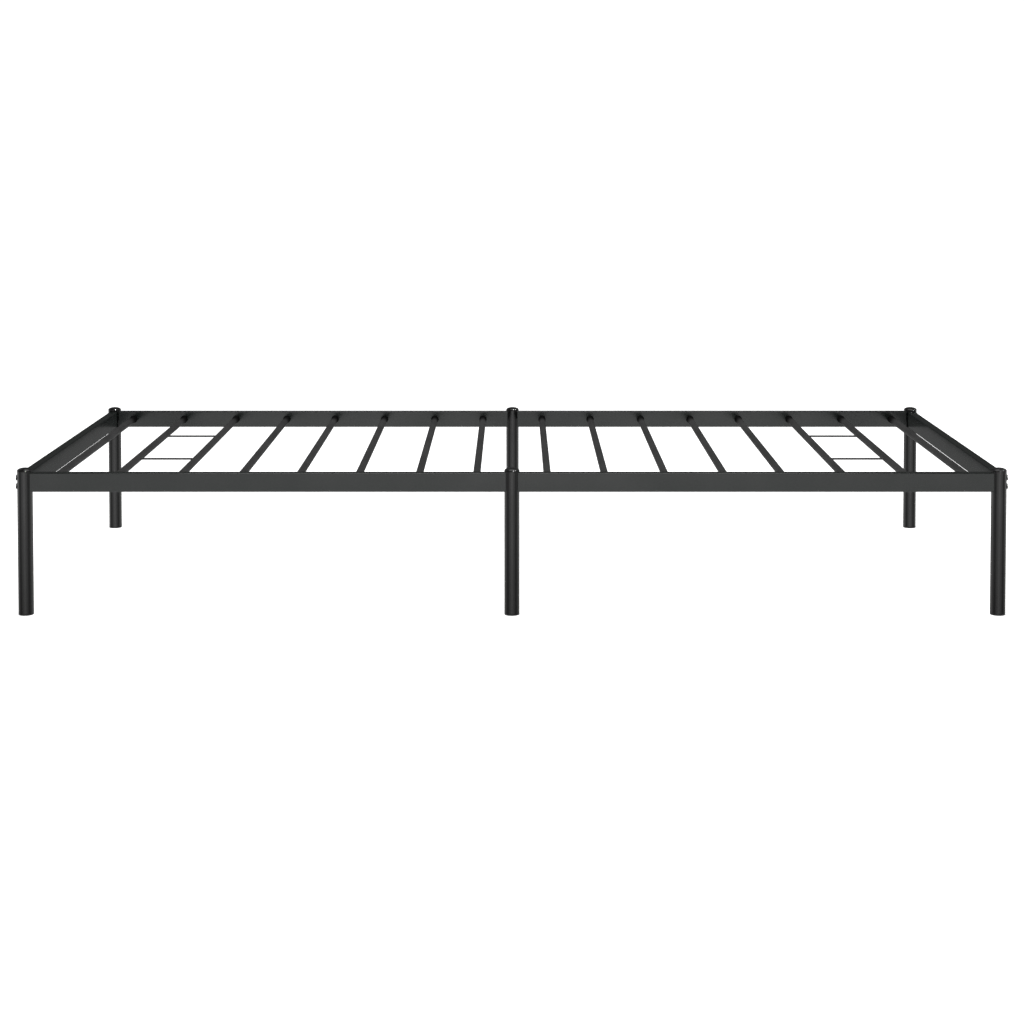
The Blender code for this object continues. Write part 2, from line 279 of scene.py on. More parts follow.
def square_tube(place, centre, half_width, half_height, corner, wall, low_reach, high_reach):
    """Skin of a rectangular tube with shaped ends."""
    outer = rectangle_section(half_width, half_height, corner)
    inner = rectangle_section(half_width - wall, half_height - wall, max(corner - wall, wall / 4))
    rings = [
        section_ring(outer, place, centre, low_reach),
        section_ring(outer, place, centre, high_reach),
        section_ring(inner, place, centre, high_reach),
        section_ring(inner, place, centre, low_reach),
    ]
    return loft(rings, closed=True)


def bead(path, thickness, seed):
    """Skin of a closed weld bead. The path holds points, each with two unit vectors across the bead."""
    chance = random.Random(seed)
    phase = chance.uniform(0, 2 * math.pi)
    slow_phase = chance.uniform(0, 2 * math.pi)
    length = sum((path[index][0] - path[index - 1][0]).length for index in range(len(path)))
    ripples = max(3, round(length / RIPPLE_PITCH))
    rings = []
    walked = 0
    for index, (point, outward, inward) in enumerate(path):
        if index:
            walked += (point - path[index - 1][0]).length
        turn = 2 * math.pi * walked / length
        ripple = RIPPLE_HEIGHT * math.sin(ripples * turn + phase)
        drift = RIPPLE_HEIGHT * math.sin(2 * turn + slow_phase)
        size = thickness * (1 + ripple + drift)
        ring = []
        for side in range(BEAD_SIDES):
            angle = 2 * math.pi * side / BEAD_SIDES
            ring.append(point + size * (math.cos(angle) * outward + math.sin(angle) * inward))
        rings.append(ring)
    return loft(rings, closed=True)


def mesh_from(name, skins):
    """One finished mesh from several skins."""
    vertices = []
    faces = []
    for skin_vertices, skin_faces in skins:
        start = len(vertices)
        vertices.extend(skin_vertices)
        faces.extend([start + corner for corner in face] for face in skin_faces)
    mesh = bpy.data.meshes.new(name)
    mesh.from_pydata(vertices, [], faces)
    return finished(mesh)


def finished(mesh):
    """The mesh with its faces pointing out, smooth but for its hard edges."""
    bm = bmesh.new()
    bm.from_mesh(mesh)
    bmesh.ops.recalc_face_normals(bm, faces=bm.faces)
    bm.to_mesh(mesh)
    bm.free()
    mesh.shade_smooth()
    mesh.set_sharp_from_angle(angle=SHARP_ANGLE)
    return mesh


def combined(mesh, *steps):
    """The mesh after Booleans, each given as an operation and the skins that it uses."""
    scene = bpy.context.scene.collection.objects
    body = bpy.data.objects.new("body", mesh)
    scene.link(body)
    tools = []
    for operation, skins in steps:
        tool = bpy.data.objects.new("tool", mesh_from("tool", skins))
        scene.link(tool)
        tools.append(tool)
        modifier = body.modifiers.new(operation, "BOOLEAN")
        modifier.operation = operation
        modifier.solver = "EXACT"
        modifier.use_self = True
        modifier.object = tool
    bpy.context.view_layer.update()
    graph = bpy.context.evaluated_depsgraph_get()
    result = bpy.data.meshes.new_from_object(body.evaluated_get(graph), depsgraph=graph)
    result.name = mesh.name
    for thing in (body, *tools):
        bpy.data.objects.remove(thing)
    result.materials.clear()
    return finished(result)


def add_piece(name, mesh, finish, *nodes, slot=None):
    """Puts a piece in the scene in place of the nodes. The slot argument is not used."""
    piece = bpy.data.objects.new(name, mesh)
    bpy.context.scene.collection.objects.link(piece)
    piece.data.materials.append(finishes[finish])
    even = piece.modifiers.new("even_normals", "WEIGHTED_NORMAL")
    even.keep_sharp = True
    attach(piece, "root")
    if nodes:
        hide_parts(*nodes)
    return piece


# ------------------------------------------------------------------ materials


class Tree:
    """Adds nodes to a material's tree, each with its inputs given by name."""

    def __init__(self, tree):
        self.tree = tree

    def add(self, kind, settings=None, **inputs):
        node = self.tree.nodes.new(kind)
        for name, value in (settings or {}).items():
            setattr(node, name, value)
        for name, value in inputs.items():
            self.feed(node.inputs[name.replace("_", " ")], value)
        return node

    def feed(self, socket, value):
        if isinstance(value, bpy.types.NodeSocket):
            self.tree.links.new(value, socket)
        else:
            socket.default_value = value

    def maths(self, operation, first, second=0.0):
        node = self.tree.nodes.new("ShaderNodeMath")
        node.operation = operation
        self.feed(node.inputs[0], first)
        self.feed(node.inputs[1], second)
        return node.outputs[0]

    def mix(self, share, first, second):
        """The first colour, changing to the second as share goes from 0 to 1."""
        node = self.add("ShaderNodeMix", {"data_type": "RGBA", "blend_type": "MIX"})
        self.feed(node.inputs["Factor"], share)
        self.feed(node.inputs[6], first)
        self.feed(node.inputs[7], (*second, 1))
        return node.outputs[2]

    def spread(self, noise, low, high):
        """The middle of a noise texture's range, stretched to go from low to high."""
        node = self.add("ShaderNodeMapRange", Value=noise)
        node.inputs["From Min"].default_value = NOISE_LOW
        node.inputs["From Max"].default_value = NOISE_HIGH
        node.inputs["To Min"].default_value = low
        node.inputs["To Max"].default_value = high
        return node.outputs["Result"]

    def ramp(self, value, stops):
        """A colour ramp of greys, or of colours, through the stops."""
        node = self.tree.nodes.new("ShaderNodeValToRGB")
        node.color_ramp.interpolation = "EASE"
        elements = node.color_ramp.elements
        while len(elements) < len(stops):
            elements.new(1.0)
        for element, (position, colour) in zip(elements, stops):
            element.position = position
            element.color = (*colour, 1) if isinstance(colour, tuple) else (colour, colour, colour, 1)
        self.feed(node.inputs["Fac"], value)
        return node.outputs["Color"]

    def shades(self, noise, dark, light):
        """A noise texture's range as shades between two colours."""
        return self.ramp(noise, ((NOISE_LOW, dark), (NOISE_HIGH, light)))


def new_material(name):
    material = bpy.data.materials.new(name)
    material.use_nodes = True
    return material, Tree(material.node_tree), material.node_tree.nodes["Principled BSDF"]


def grey(level):
    return (level, level, level)


def scaled(colour, factor):
    return tuple(channel * factor for channel in colour)


def edge_mask(tree, width):
    """1 where the surface bends sharply within that width, 0 elsewhere."""
    rounded = tree.add("ShaderNodeBevel", {"samples": 4}, Radius=width)
    plain = tree.add("ShaderNodeNewGeometry")
    match = tree.add("ShaderNodeVectorMath", {"operation": "DOT_PRODUCT"})
    tree.feed(match.inputs[0], rounded.outputs["Normal"])
    tree.feed(match.inputs[1], plain.outputs["Normal"])
    bent = tree.maths("SUBTRACT", 1.0, match.outputs["Value"])
    return tree.maths("MINIMUM", tree.maths("MULTIPLY", bent, EDGE_CONTRAST), 1.0)


def powder_coat(name, colour, roughness, peel, gloss=0.5, dark_end=None):
    """Black powder coat: orange peel, fine grain, slight bloom in patches, thinner on edges. From
    dark_end outwards along Y it is painted darker, as painted shade where the slats meet the side rails,
    and it gets duller."""
    material, tree, shader = new_material(name)
    shader.inputs["Specular IOR Level"].default_value = gloss
    place = tree.add("ShaderNodeTexCoord").outputs["Object"]
    patches = tree.add("ShaderNodeTexNoise", Vector=place, Scale=PATCH_SCALE, Detail=3.0).outputs["Fac"]
    speckle = tree.add("ShaderNodeTexNoise", Vector=place, Scale=SPECKLE_SCALE, Detail=1.0).outputs["Fac"]
    orange_peel = tree.add("ShaderNodeTexNoise", Vector=place, Scale=PEEL_SCALE, Detail=2.0).outputs["Fac"]
    bloom = tree.shades(patches, scaled(colour, BLOOM_DARK), scaled(colour, BLOOM_LIGHT))
    grain = tree.ramp(speckle, GRAIN_STOPS)
    shade = tree.mix(grain, bloom, scaled(colour, GRAIN_LIGHT))
    rubbed = tree.maths("MULTIPLY", edge_mask(tree, WORN_EDGE), EDGE_WEAR)
    shade = tree.mix(rubbed, shade, scaled(colour, EDGE_LIGHT))
    dullness = tree.spread(patches, roughness - 0.03, roughness + 0.03)
    # Painted shade: the colour darkens towards the ends along Y, where the slats meet the side rails, and
    # the coat is made rougher there
    if dark_end:
        along = tree.maths("ABSOLUTE", tree.add("ShaderNodeSeparateXYZ", Vector=place).outputs["Y"])
        painted_shade = tree.ramp(along, ((dark_end, 0.0), (dark_end + PAINTED_SHADE_LENGTH, 1.0)))
        shade = tree.mix(painted_shade, shade, scaled(colour, PAINTED_SHADE_COLOUR))
        dullness = tree.maths("ADD", dullness, tree.maths("MULTIPLY", painted_shade, PAINTED_SHADE_DULLNESS))
    tree.feed(shader.inputs["Base Color"], shade)
    tree.feed(shader.inputs["Roughness"], dullness)
    height = tree.maths("ADD", orange_peel, tree.maths("MULTIPLY", speckle, GRAIN_HEIGHT))
    bump = tree.add("ShaderNodeBump", Strength=1.0, Distance=peel, Height=height)
    tree.feed(shader.inputs["Normal"], bump.outputs["Normal"])
    return material


def moulded_plastic(name, colour, roughness, gloss=0.5):
    """Black polypropylene with a fine spark-eroded grain and faint flow marks."""
    material, tree, shader = new_material(name)
    shader.inputs["Specular IOR Level"].default_value = gloss
    place = tree.add("ShaderNodeTexCoord").outputs["Object"]
    flow = tree.add("ShaderNodeTexNoise", Vector=place, Scale=FLOW_SCALE, Detail=3.0).outputs["Fac"]
    spark = tree.add("ShaderNodeTexVoronoi", Vector=place, Scale=SPARK_SCALE).outputs["Distance"]
    shade = tree.shades(flow, scaled(colour, FLOW_DARK), scaled(colour, FLOW_LIGHT))
    tree.feed(shader.inputs["Base Color"], shade)
    tree.feed(shader.inputs["Roughness"], tree.spread(flow, roughness - 0.03, roughness + 0.04))
    bump = tree.add("ShaderNodeBump", Strength=1.0, Distance=SPARK_HEIGHT, Height=spark)
    tree.feed(shader.inputs["Normal"], bump.outputs["Normal"])
    return material


def brushed_steel(name):
    """Bare zinc-plated plate, lightly brushed."""
    material, tree, shader = new_material(name)
    place = tree.add("ShaderNodeTexCoord").outputs["Object"]
    stretched = tree.add("ShaderNodeMapping", Vector=place, Scale=(1.0, BRUSH_STRETCH, 1.0))
    along = stretched.outputs["Vector"]
    strokes = tree.add("ShaderNodeTexNoise", Vector=along, Scale=BRUSH_SCALE, Detail=4.0).outputs["Fac"]
    shade = tree.shades(strokes, (0.42, 0.43, 0.45), (0.60, 0.61, 0.62))
    roughness = tree.maths("ADD", tree.maths("MULTIPLY", strokes, 0.2), 0.28)
    bump = tree.add("ShaderNodeBump", Strength=0.6, Distance=BRUSH_HEIGHT, Height=strokes)
    tree.feed(shader.inputs["Base Color"], shade)
    tree.feed(shader.inputs["Roughness"], roughness)
    tree.feed(shader.inputs["Normal"], bump.outputs["Normal"])
    shader.inputs["Metallic"].default_value = 1.0
    return material


# The slats are lighter and duller than the rest, as they look in the photo
finishes = {
    "leg_coat": powder_coat("black_powder_coat_legs", grey(0.0034), 0.20, 0.00002),
    "rail_coat": powder_coat("black_powder_coat_rails", (0.0024, 0.0046, 0.0037), 0.22, 0.00002),
    # The slats' ends carry painted shade from SLAT_END outwards, where they meet the side rails
    "slat_coat": powder_coat("black_powder_coat_slats", grey(0.0390), 0.42, 0.00002, 0.05, SLAT_END),
    "rod_coat": powder_coat("black_powder_coat_rods", grey(0.0060), 0.30, 0.00001),
    "weld_coat": powder_coat("black_powder_coat_welds", grey(0.0020), 0.50, 0.00001, 0.04),
    "cap_plastic": moulded_plastic("black_cap_plastic", grey(0.0007), 0.11, 0.18),
    "foot_plastic": moulded_plastic("black_foot_plastic", grey(0.0050), 0.45),
    "bolt_steel": powder_coat("black_bolt_finish", grey(0.0015), 0.28, 0.000005),
    "plate_steel": brushed_steel("zinc_plated_steel"),
}


# ---------------------------------------------------------------------- pieces


def middle(node):
    low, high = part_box(node)
    return (low + high) / 2


def leg_axis(side, end):
    """The point on the floor under a leg."""
    node = f"mid_leg_{side}" if end == "mid" else f"corner_leg_{side}_{end}"
    centre = middle(node)
    return Vector((centre.x, centre.y, 0))


rail_low, rail_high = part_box("side_rail_front_left")
RAIL_HALF_WIDTH = (rail_high.y - rail_low.y) / 2
RAIL_HALF_HEIGHT = (rail_high.z - rail_low.z) / 2
RAIL_Z = (rail_high.z + rail_low.z) / 2
leg_low, leg_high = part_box("corner_leg_front_left")
LEG_RADIUS = (leg_high.y - leg_low.y) / 2
LEG_BORE = LEG_RADIUS - LEG_WALL
LEG_BOTTOM = leg_low.z
LEG_TOP = leg_high.z
COPE_RADIUS = LEG_RADIUS + GAP
BOLT_HOLE = BOLT_RADIUS + GAP


def cope(across):
    """How far from a leg's axis a rail's end is, at that distance across the rail."""
    return math.sqrt(COPE_RADIUS**2 - across**2)


def drill(place, centre, radius, low, high):
    return turned(((0, low), (radius, low), (radius, high), (0, high)), place, centre, BOLT_SEGMENTS)


def leg_skin(axis):
    """A leg's tube, with rings just above and below its joint with the rails."""
    stops = (RAIL_Z - RAIL_HALF_HEIGHT - CUT_LIP, RAIL_Z + RAIL_HALF_HEIGHT)
    profile = tube_profile(LEG_RADIUS, LEG_BORE, LEG_BOTTOM, LEG_TOP, stops)
    return turned(profile, along_z, axis, LEG_SEGMENTS, closed=True)


def add_corner_leg(side, end):
    axis = leg_axis(side, end)
    holes = []
    for level in (-1, 1):
        centre = axis + Vector((0, 0, RAIL_Z + level * CORNER_BOLT_SPREAD))
        holes.append(drill(along_x, centre, BOLT_HOLE, -2 * LEG_RADIUS, 2 * LEG_RADIUS))
    name = f"corner_leg_{side}_{end}"
    tube = combined(mesh_from(name, [leg_skin(axis)]), ("DIFFERENCE", holes))
    add_piece(name + "_tube", tube, "leg_coat", name)


def weld_nut_skin(axis, direction):
    """Hexagonal weld nut on the floor of a spigot, with its upper edge chamfered."""
    root = RAIL_Z - RAIL_HALF_HEIGHT + RAIL_WALL + GAP + SPIGOT_WALL / 2
    top = root + SPIGOT_WALL / 2 + WELD_NUT_HEIGHT
    corner = WELD_NUT_APOTHEM / math.cos(math.pi / 6)
    profile = (
        (0, root),
        (corner, root),
        (corner, top - WELD_NUT_CHAMFER),
        (corner - WELD_NUT_CHAMFER, top),
        (0, top),
    )
    return turned(profile, along_z, axis + Vector((direction * SET_SCREW_X, 0, 0)), 6)


def spigot_skin(axis, direction):
    def root(across):
        return direction * math.sqrt(SPIGOT_ROOT**2 - across**2)

    def tip(across):
        return direction * SPIGOT_REACH

    shrink = RAIL_WALL + GAP
    return square_tube(
        along_x,
        axis + Vector((0, 0, RAIL_Z)),
        RAIL_HALF_WIDTH - shrink,
        RAIL_HALF_HEIGHT - shrink,
        SPIGOT_CORNER,
        SPIGOT_WALL,
        root,
        tip,
    )


def add_mid_leg(side):
    """A middle leg with the spigots that the half rails slide over, and a nut in each."""
    axis = leg_axis(side, "mid")
    steps = []
    for _, direction in ENDS:
        steps.append(("UNION", [spigot_skin(axis, direction)]))
        steps.append(("UNION", [weld_nut_skin(axis, direction)]))
    for _, direction in ENDS:
        centre = axis + Vector((direction * SET_SCREW_X, 0, 0))
        hole = drill(along_z, centre, BOLT_HOLE, RAIL_Z - 2 * RAIL_HALF_HEIGHT, RAIL_Z)
        steps.append(("DIFFERENCE", [hole]))
    name = f"mid_leg_{side}"
    add_piece(name + "_tube", combined(mesh_from(name, [leg_skin(axis)]), *steps), "leg_coat", name)


def ribbed(radius, low, high):
    """Profile up the outside of an insert that grips the tube with round ribs."""
    profile = [(radius - RIB_DEPTH, low)]
    ribs = int((high - low) / RIB_PITCH)
    for rib in range(ribs):
        height = low + RIB_PITCH * (rib + 0.5)
        for step in range(RIB_STEPS + 1):
            angle = math.pi * step / RIB_STEPS
            offset = -math.cos(angle) * RIB_PITCH * RIB_HALF_WIDTH
            profile.append((radius - RIB_DEPTH * (1 - math.sin(angle)), height + offset))
    profile.append((radius - RIB_DEPTH, high))
    return profile


def add_cap(side, end):
    """Domed cap. Its insert grips the inside of the tube."""
    name = f"leg_cap_{side}_{end}"
    low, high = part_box(name)
    rim_bottom = LEG_TOP + GAP
    dome = high.z - rim_bottom - CAP_RIM
    insert = LEG_BORE - GAP
    profile = [(0, rim_bottom), (insert - PLUG_WALL, rim_bottom), (insert - PLUG_WALL, low.z)]
    profile += ribbed(insert, low.z, rim_bottom)
    profile += arc(LEG_RADIUS - CAP_EDGE, rim_bottom + CAP_EDGE, CAP_EDGE, -90, 0)
    for step in range(DOME_STEPS + 1):
        angle = math.pi / 2 * step / DOME_STEPS
        radius = LEG_RADIUS * math.cos(angle) if step < DOME_STEPS else 0
        profile.append((radius, rim_bottom + CAP_RIM + dome * math.sin(angle)))
    skin = turned(profile, along_z, leg_axis(side, end), LEG_SEGMENTS)
    add_piece(name + "_moulding", mesh_from(name, [skin]), "cap_plastic", name)


def add_foot(side, end):
    """Flanged plug that the leg stands on."""
    name = f"foot_plug_{side}_{end}"
    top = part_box(name)[1].z
    insert = LEG_BORE - GAP
    profile = [(0, 0)]
    profile += arc(LEG_RADIUS - FOOT_EDGE, FOOT_EDGE, FOOT_EDGE, -90, 0)
    profile += arc(LEG_RADIUS - CAP_EDGE, FOOT_FLANGE - CAP_EDGE, CAP_EDGE, 0, 90)
    profile += ribbed(insert, FOOT_FLANGE, top)
    profile += [(insert - PLUG_WALL, top), (insert - PLUG_WALL, FOOT_FLANGE), (0, FOOT_FLANGE)]
    skin = turned(profile, along_z, leg_axis(side, end), LEG_SEGMENTS)
    add_piece(name + "_moulding", mesh_from(name, [skin]), "foot_plastic", name)


def rail_skin(place, centre, low_reach, high_reach):
    return square_tube(
        place, centre, RAIL_HALF_WIDTH, RAIL_HALF_HEIGHT, RAIL_CORNER, RAIL_WALL, low_reach, high_reach
    )


def add_side_rail(side, end, direction):
    """Half a side rail, hollowed at both ends to fit round the legs, with a hole for its bolt."""
    name = f"side_rail_{side}_{end}"
    span = abs(leg_axis(side, end).x - leg_axis(side, "mid").x)
    centre = leg_axis(side, "mid") + Vector((0, 0, RAIL_Z))

    def inner_end(across):
        return direction * cope(across)

    def outer_end(across):
        return direction * (span - cope(across))

    hole_centre = centre + Vector((direction * SET_SCREW_X, 0, 0))
    hole = drill(along_z, hole_centre, BOLT_HOLE, -2 * RAIL_HALF_HEIGHT, -RAIL_HALF_HEIGHT / 2)
    skin = rail_skin(along_x, centre, inner_end, outer_end)
    tube = combined(mesh_from(name, [skin]), ("DIFFERENCE", [hole]))
    add_piece(name + "_tube", tube, "rail_coat", name)


def end_rail_reach(end, side_sign):
    """How far along Y an end rail goes towards the front or the back, at each place across it."""
    leg_y = abs(leg_axis("front", end).y)

    def reach(across):
        return side_sign * (leg_y - cope(across))

    return reach


def add_end_rail(end):
    name = f"end_rail_{end}"
    centre = Vector((leg_axis("front", end).x, 0, RAIL_Z))
    skin = rail_skin(along_y, centre, end_rail_reach(end, -1), end_rail_reach(end, 1))
    add_piece(name + "_tube", mesh_from(name, [skin]), "rail_coat", name)


def add_end_rail_weld(side, side_sign, end):
    """Bead all round the joint between an end rail and a corner leg."""
    centre = Vector((leg_axis(side, end).x, 0, RAIL_Z))
    reach = end_rail_reach(end, side_sign)
    path = []
    for (across, up), normal in rectangle_section(RAIL_HALF_WIDTH, RAIL_HALF_HEIGHT, RAIL_CORNER):
        point = centre + along_y(reach(across), across, up)
        outward = along_y(0, normal[0], normal[1])
        path.append((point, outward, Vector((0, -side_sign, 0))))
    name = f"end_rail_weld_{side}_{end}"
    mesh = mesh_from(name, [bead(even_path(path), RAIL_BEAD, name)])
    add_piece(name, mesh, "weld_coat", slot="rail_coat")


def even_path(path):
    """The same path with its points no further apart than the bead needs."""
    even = []
    for index, (point, outward, inward) in enumerate(path):
        following, next_outward, next_inward = path[(index + 1) % len(path)]
        steps = max(1, math.ceil((following - point).length / BEAD_SPACING))
        for step in range(steps):
            share = step / steps
            across = outward.lerp(next_outward, share).normalized()
            even.append((point.lerp(following, share), across, inward.lerp(next_inward, share)))
    return even


def ring_path(place, centre, radius, height, direction, steps):
    """A closed path round an axis, for the bead where a round bar meets a surface."""
    path = []
    for step in range(steps):
        angle = 2 * math.pi * step / steps
        outward = place(0, math.cos(angle), math.sin(angle))
        path.append((centre + radius * outward + place(height, 0, 0), outward, place(direction, 0, 0)))
    return path


def slat_axis(node):
    """The middle of a slat's axis, and its radius."""
    low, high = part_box(node)
    centre = middle(node)
    return Vector((centre.x, 0, centre.z)), (high.x - low.x) / 2


def add_slat(node):
    low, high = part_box(node)
    axis, radius = slat_axis(node)
    profile = tube_profile(radius, radius - SLAT_WALL, low.y, high.y)
    skin = turned(profile, along_y, axis, SLAT_SEGMENTS, closed=True)
    add_piece(node + "_tube", mesh_from(node, [skin]), "slat_coat", node)


def add_slat_welds(side, side_sign):
    """The beads that join the slats to one side rail."""
    face = side_sign * (abs(leg_axis(side, "mid").y) - RAIL_HALF_WIDTH)
    skins = []
    for node in SLAT_NAMES:
        axis, radius = slat_axis(node)
        path = ring_path(along_y, axis, radius, face, -side_sign, SLAT_SEGMENTS)
        skins.append(bead(path, SLAT_BEAD, f"{node}_{side}"))
    name = f"slat_welds_{side}"
    add_piece(name, mesh_from(name, skins), "weld_coat", slot="slat_coat")


def add_cross_rod(side, end):
    """Wire between two slats, with a small bead at each end."""
    node = f"cross_rod_{side}_{end}"
    low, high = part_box(node)
    centre = middle(node)
    radius = (high.z - low.z) / 2
    half = (high.x - low.x) / 2
    edge = radius * ROD_EDGE
    profile = [(0, -half)]
    profile += arc(radius - edge, -half + edge, edge, -90, 0)
    profile += arc(radius - edge, half - edge, edge, 0, 90)
    profile.append((0, half))
    skins = [turned(profile, along_x, centre, ROD_SEGMENTS)]
    for direction in (-1, 1):
        path = ring_path(along_x, centre, radius, direction * half, -direction, ROD_SEGMENTS)
        skins.append(bead(path, ROD_BEAD, f"{node}_{direction}"))
    add_piece(node + "_wire", mesh_from(node, skins), "rod_coat", node)


def hexagon(apothem):
    """How far a hexagonal socket's wall is from its axis, as a function of the angle."""
    return lambda angle: apothem / math.cos((angle + math.pi / 6) % (math.pi / 3) - math.pi / 6)


def shaped_ring(place, centre, radius_at, height):
    ring = []
    for step in range(BOLT_SEGMENTS):
        angle = 2 * math.pi * step / BOLT_SEGMENTS
        radius = radius_at(angle)
        ring.append(centre + place(height, radius * math.cos(angle), radius * math.sin(angle)))
    return ring


def round_ring(place, centre, radius, height):
    return shaped_ring(place, centre, lambda angle: radius, height)


def thread_rings(place, centre, direction, tip, turns):
    """Rings of a helical thread that starts at the tip and runs towards the head."""
    rings = []
    for step in range(turns * THREAD_RINGS + 1):
        rise = step / THREAD_RINGS
        depth = THREAD_DEPTH * min(1, rise, turns - rise)

        def radius_at(angle, rise=rise, depth=depth):
            saw = (rise - angle / (2 * math.pi)) % 1
            return BOLT_RADIUS - depth * abs(2 * saw - 1)

        height = direction * (tip + THREAD_PITCH * rise)
        rings.append(shaped_ring(place, centre, radius_at, height))
    return rings


def socket_rings(place, centre, direction, top, apothem, depth):
    """Rings down a hexagonal socket, from its chamfered mouth to its pointed floor."""
    wall = hexagon(apothem)
    floor = top - depth
    return [
        shaped_ring(place, centre, lambda angle: wall(angle) + SOCKET_CHAMFER, direction * top),
        shaped_ring(place, centre, wall, direction * (top - SOCKET_CHAMFER)),
        shaped_ring(place, centre, wall, direction * floor),
        [centre + place(direction * (floor - SOCKET_CHAMFER), 0, 0)],
    ]


def tip_rings(place, centre, direction, tip):
    """The chamfered end of a screw."""
    return [
        [centre + place(direction * tip, 0, 0)],
        round_ring(place, centre, BOLT_RADIUS - THREAD_DEPTH, direction * tip),
    ]


def bolt_skin(place, head, direction, length):
    """Domed furniture bolt. The underside of its head is at head, and the head is on the side of
    direction along the axis."""
    rings = tip_rings(place, head, direction, -length)
    rings += thread_rings(place, head, direction, THREAD_DEPTH - length, THREAD_TURNS)
    outline = [(BOLT_RADIUS, 0)]
    outline += arc(HEAD_RADIUS - HEAD_EDGE, HEAD_EDGE, HEAD_EDGE, -90, 0)
    for step in range(HEAD_STEPS + 1):
        angle = math.pi / 2 * step / HEAD_STEPS
        radius = HEAD_TOP_RADIUS + (HEAD_RADIUS - HEAD_TOP_RADIUS) * math.cos(angle)
        outline.append((radius, HEAD_RIM + (HEAD_HEIGHT - HEAD_RIM) * math.sin(angle)))
    rings += [round_ring(place, head, radius, direction * height) for radius, height in outline]
    rings += socket_rings(place, head, direction, HEAD_HEIGHT, SOCKET_APOTHEM, SOCKET_DEPTH)
    return loft(rings)


def set_screw_skin(centre, length):
    """Headless screw that points up. Its socket opens downwards, at centre."""
    turns = round((length - 2 * THREAD_DEPTH) / THREAD_PITCH)
    rings = tip_rings(along_z, centre, -1, -length)
    rings += thread_rings(along_z, centre, -1, THREAD_DEPTH - length, turns)
    rings.append(round_ring(along_z, centre, BOLT_RADIUS - THREAD_DEPTH, 0))
    rings += socket_rings(along_z, centre, -1, 0, SCREW_SOCKET_APOTHEM, SCREW_SOCKET_DEPTH)
    return loft(rings)


def add_corner_bolt(side, end, direction, level):
    node = f"corner_bolt_{side}_{end}_{level}"
    low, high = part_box(node)
    centre = middle(node)
    outer = high.x if direction > 0 else low.x
    head = Vector((outer - direction * HEAD_HEIGHT, centre.y, centre.z))
    length = (high.x - low.x) - HEAD_HEIGHT
    skin = bolt_skin(along_x, head, direction, length)
    add_piece(node + "_steel", mesh_from(node, [skin]), "bolt_steel", node)


def add_set_screw(side, end):
    node = f"set_screw_{side}_{end}"
    low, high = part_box(node)
    centre = middle(node)
    skin = set_screw_skin(Vector((centre.x, centre.y, low.z)), high.z - low.z)
    add_piece(node + "_steel", mesh_from(node, [skin]), "bolt_steel", node)


def finish_nut_plate(side, end):
    """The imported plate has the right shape, so only its finish changes."""
    plate = frame["nodes"][f"nut_plate_{side}_{end}"]
    plate.data.materials.clear()
    plate.data.materials.append(finishes["plate_steel"])


def build_bed():
    for side, side_sign in SIDES:
        for end, end_sign in ENDS:
            add_corner_leg(side, end)
            add_side_rail(side, end, end_sign)
            add_end_rail_weld(side, side_sign, end)
            add_cross_rod(side, end)
            add_set_screw(side, end)
            finish_nut_plate(side, end)
            for level in ("lower", "upper"):
                add_corner_bolt(side, end, end_sign, level)
        add_mid_leg(side)
        for end in ("left", "mid", "right"):
            add_cap(side, end)
            add_foot(side, end)
        add_slat_welds(side, side_sign)
    for end, _ in ENDS:
        add_end_rail(end)
    for node in SLAT_NAMES:
        add_slat(node)


# ---------------------------------------------------------------------- studio

# The camera, tilted down a little and shifted so that the bed sits where it does in the photo
CAMERA_PLACE = (0.0064, -4.6267, 0.9996)
CAMERA_PITCH = math.radians(2.5)
CAMERA_LENS = 70.24
CAMERA_SHIFT = (-0.0029, -0.2802)
SENSOR_WIDTH = 36
VIEW_DISTANCE = 200

FLOOR_REACH = 60.0
FLOOR_GLOW = 0.86
BACKDROP_GLOW = 1.1


def level_stop(degrees, brightness):
    """A stop of the ramp over height: the angle above the horizon, and the brightness there."""
    return (0.5 + 0.5 * math.sin(math.radians(degrees)), brightness)


def wall_stop(degrees, brightness):
    """A stop of the ramp round the room: the angle from the front, and the brightness there."""
    return (degrees / 180, brightness)


# The room is drawn as panels. Each has its brightness round the room and its brightness by height,
# which are multiplied, and the panels add up. It is the same on the left and on the right.
ROOM_STRENGTH = 2.9

# Walls in front and beside, which the front of the bed reflects, brightest in a band below the horizon
FRONT_WALLS = (
    wall_stop(0, 1.0),
    wall_stop(9, 1.0),
    wall_stop(16, 0.74),
    wall_stop(26, 0.68),
    wall_stop(42, 0.52),
    wall_stop(54, 0.22),
    wall_stop(74, 0.22),
    wall_stop(92, 0.50),
    wall_stop(108, 0.50),
    wall_stop(126, 0.34),
    wall_stop(150, 0.0),
)
FRONT_LEVELS = (
    level_stop(-90, 0.20),
    level_stop(-30, 0.16),
    level_stop(-18, 0.10),
    level_stop(-14, 0.10),
    level_stop(-12, 0.42),
    level_stop(-10, 1.0),
    level_stop(-8, 0.52),
    level_stop(-3, 0.60),
    level_stop(12, 0.40),
    level_stop(24, 0.14),
    level_stop(45, 0.0),
)

# Low light behind the bed, which the inner faces of the end rails reflect
BACK_WALL = (
    wall_stop(135, 0.0),
    wall_stop(152, 0.066),
)
BACK_LEVELS = (
    level_stop(-24, 0.4),
    level_stop(-12, 1.0),
    level_stop(0, 1.0),
    level_stop(5, 0.1),
    level_stop(9, 0.0),
)

# Panels at the back corners, which the bed reflects when it is seen from behind
SIDE_PANELS = (
    wall_stop(104, 0.0),
    wall_stop(122, 1.0),
    wall_stop(142, 1.0),
    wall_stop(156, 0.0),
)
SIDE_LEVELS = (
    level_stop(-90, 0.18),
    level_stop(-20, 0.18),
    level_stop(45, 0.17),
    level_stop(70, 0.0),
)

